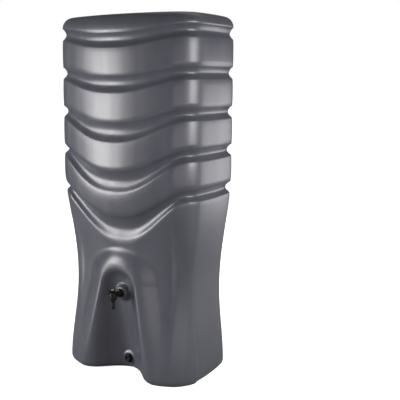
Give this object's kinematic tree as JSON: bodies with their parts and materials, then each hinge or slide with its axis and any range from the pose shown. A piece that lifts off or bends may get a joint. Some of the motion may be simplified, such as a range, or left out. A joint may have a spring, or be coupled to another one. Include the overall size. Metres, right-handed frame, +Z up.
{
  "type": "rainwater tank",
  "caption": "Tall blow-moulded plastic water butt with wavy grooves, an arched front recess, a lever tap, a drain plug and a round screw lid.",
  "frame": {"origin": "on the ground under the middle of the tank's plan", "axes": "+Z up, the front with the tap faces -Y, +X to the right seen from the front"},
  "size_m": [0.5999, 0.4383, 1.3005],
  "materials": {
    "tank_plastic": "satin",
    "lid_plastic": "satin",
    "fitting_plastic": "satin",
    "seal_rubber": "matt",
    "screw_steel": "satin"
  },
  "bodies": {
    "tank": {"tank_body": "tank_plastic", "tap_body": "fitting_plastic", "tap_outer_washer": "seal_rubber", "tap_inner_washer": "seal_rubber", "tap_backnut": "fitting_plastic", "tap_gland_nut": "fitting_plastic", "drain_bush": "fitting_plastic", "drain_outer_washer": "seal_rubber", "drain_inner_washer": "seal_rubber", "drain_backnut": "fitting_plastic"},
    "lid_lifter": {"lid_seal": "seal_rubber"},
    "lid": {"lid": "lid_plastic"},
    "tap_lever": {"tap_cock": "fitting_plastic", "tap_cock_lower_seal": "seal_rubber", "tap_cock_upper_seal": "seal_rubber", "tap_lever": "fitting_plastic", "tap_lever_screw": "screw_steel"},
    "plug_drawer": {"drain_plug_seal": "seal_rubber"},
    "drain_plug": {"drain_plug": "fitting_plastic"}
  },
  "joints": [
    {"name": "lid_lift", "type": "slide", "parent": "tank", "child": "lid_lifter", "axis": [0, 0, 1], "range_m": [0, 0.06]},
    {"name": "lid_turn", "type": "hinge", "parent": "lid_lifter", "child": "lid", "pos_m": [0, 0, 1.29], "axis": [0, 0, 1], "continuous": true},
    {"name": "tap_turn", "type": "hinge", "parent": "tank", "child": "tap_lever", "pos_m": [0, -0.19974, 0.312], "axis": [0, 0, 1], "range_deg": [0, 90]},
    {"name": "plug_draw", "type": "slide", "parent": "tank", "child": "plug_drawer", "axis": [0, -1, 0], "range_m": [0, 0.009]},
    {"name": "plug_turn", "type": "hinge", "parent": "plug_drawer", "child": "drain_plug", "pos_m": [0, -0.10496, 0.048], "axis": [0, -1, 0], "range_deg": [0, 1440]}
  ],
  "couplings": [
    {"joint": "plug_draw", "follows": "plug_turn", "m_per_rad": 0.00031831}
  ]
}
